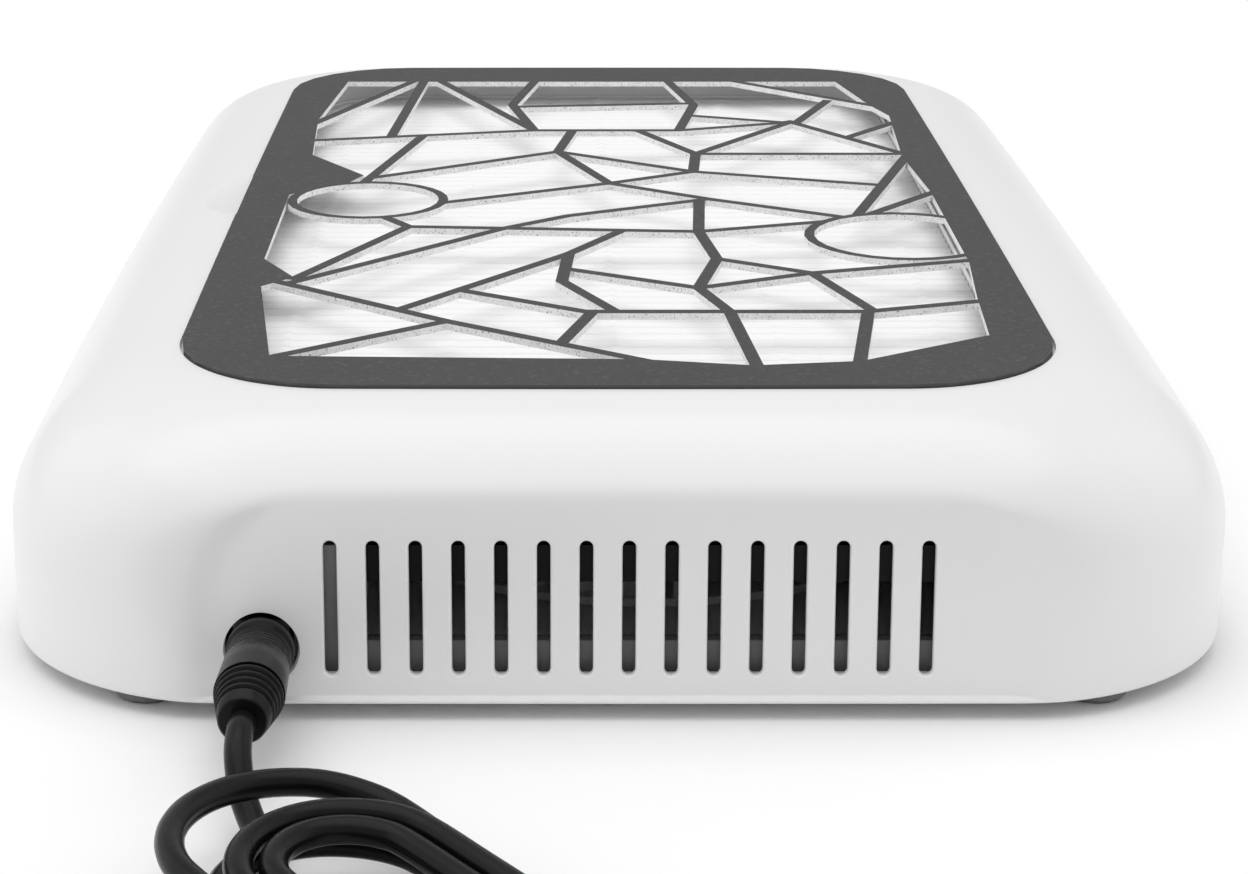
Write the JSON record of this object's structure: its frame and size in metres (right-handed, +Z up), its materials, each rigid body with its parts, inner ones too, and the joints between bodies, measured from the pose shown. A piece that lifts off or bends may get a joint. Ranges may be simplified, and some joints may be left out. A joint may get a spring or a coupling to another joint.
{
  "type": "nail dust collector",
  "caption": "Low rounded desktop nail dust collector with a lift-out cut plate over a pleated filter, a slotted exhaust end, a turning fan, push buttons and a looped power lead",
  "frame": {"origin": "On the table, under the centre of the box round the unit and its feet, without the lead", "axes": "+Z up; +Y along the long side, away from the exhaust slots and the power socket; +X to the right as seen from the slotted end"},
  "size_m": [0.215, 0.5177, 0.0485],
  "materials": {
    "white_gloss": "glossy white moulded casing",
    "plate_grey": "dark grey painted cut plate",
    "filter_paper": "white pleated filter media",
    "foam_grey": "soft dark foam seal",
    "grey_rubber": "matt grey rubber feet",
    "dark_moulding": "dark grey satin moulding",
    "black_moulding": "black satin moulding",
    "lead_vinyl": "black satin vinyl lead and overmoulds",
    "wire_sleeve": "dark wire insulation",
    "board_green": "green circuit board",
    "light_pipe": "clear-white light pipe",
    "winding_copper": "enamelled copper windings",
    "bright_steel": "bright machined steel"
  },
  "bodies": {
    "housing": {"bearing_lower": "bright_steel", "bearing_upper": "bright_steel", "bottom_cover": "white_gloss", "case_screw_1": "bright_steel", "case_screw_2": "bright_steel", "case_screw_3": "bright_steel", "case_screw_4": "bright_steel", "case_screw_5": "bright_steel", "case_screw_6": "bright_steel", "control_board": "board_green", "dc_jack": "black_moulding", "fan_housing": "dark_moulding", "fan_inlet_plate": "black_moulding", "jack_lead": "wire_sleeve", "motor_base": "black_moulding", "motor_lead": "wire_sleeve", "motor_screw_1": "bright_steel", "motor_screw_2": "bright_steel", "motor_screw_3": "bright_steel", "motor_stator": "winding_copper", "power_switch": "black_moulding", "rubber_foot_1": "grey_rubber", "rubber_foot_2": "grey_rubber", "rubber_foot_3": "grey_rubber", "rubber_foot_4": "grey_rubber", "speed_switch": "black_moulding", "status_light": "light_pipe", "upper_shell": "white_gloss"},
    "cover": {"lattice_cover": "plate_grey"},
    "filter": {"filter_frame": "white_gloss", "filter_pleats": "filter_paper", "filter_gasket": "foam_grey"},
    "fan_rotor": {"impeller": "dark_moulding", "rotor_cup": "bright_steel", "rotor_magnet": "black_moulding", "motor_shaft": "bright_steel"},
    "power_key": {"power_button": "dark_moulding"},
    "speed_key": {"speed_button": "dark_moulding"},
    "lead": {"dc_plug": "lead_vinyl", "plug_barrel": "bright_steel", "supply_cord": "lead_vinyl", "cord_hank": "lead_vinyl", "cord_tail": "lead_vinyl", "cord_tie": "black_moulding", "adapter_relief": "lead_vinyl", "power_adapter": "black_moulding", "adapter_blade_1": "bright_steel", "adapter_blade_2": "bright_steel"}
  },
  "joints": [
    {"name": "cover_lift", "type": "slide", "parent": "housing", "child": "cover", "axis": [0, 0, 1], "range_m": [0, 0.06]},
    {"name": "filter_lift", "type": "slide", "parent": "housing", "child": "filter", "axis": [0, 0, 1], "range_m": [0, 0.03]},
    {"name": "fan_spin", "type": "hinge", "parent": "housing", "child": "fan_rotor", "pos_m": [0.005, -0.085, 0.015], "axis": [0, 0, 1], "continuous": true},
    {"name": "power_press", "type": "slide", "parent": "housing", "child": "power_key", "axis": [0, -1, 0], "range_m": [0, 0.001], "stiffness_N_per_m": 1200, "springref_m": -0.0005},
    {"name": "speed_press", "type": "slide", "parent": "housing", "child": "speed_key", "axis": [0, -1, 0], "range_m": [0, 0.001], "stiffness_N_per_m": 1200, "springref_m": -0.0005},
    {"name": "plug_pull", "type": "slide", "parent": "housing", "child": "lead", "axis": [0, -1, 0], "range_m": [0, 0.01]}
  ],
  "couplings": [
    {"joint": "filter_lift", "follows": "cover_lift", "ratio": 0.5}
  ]
}
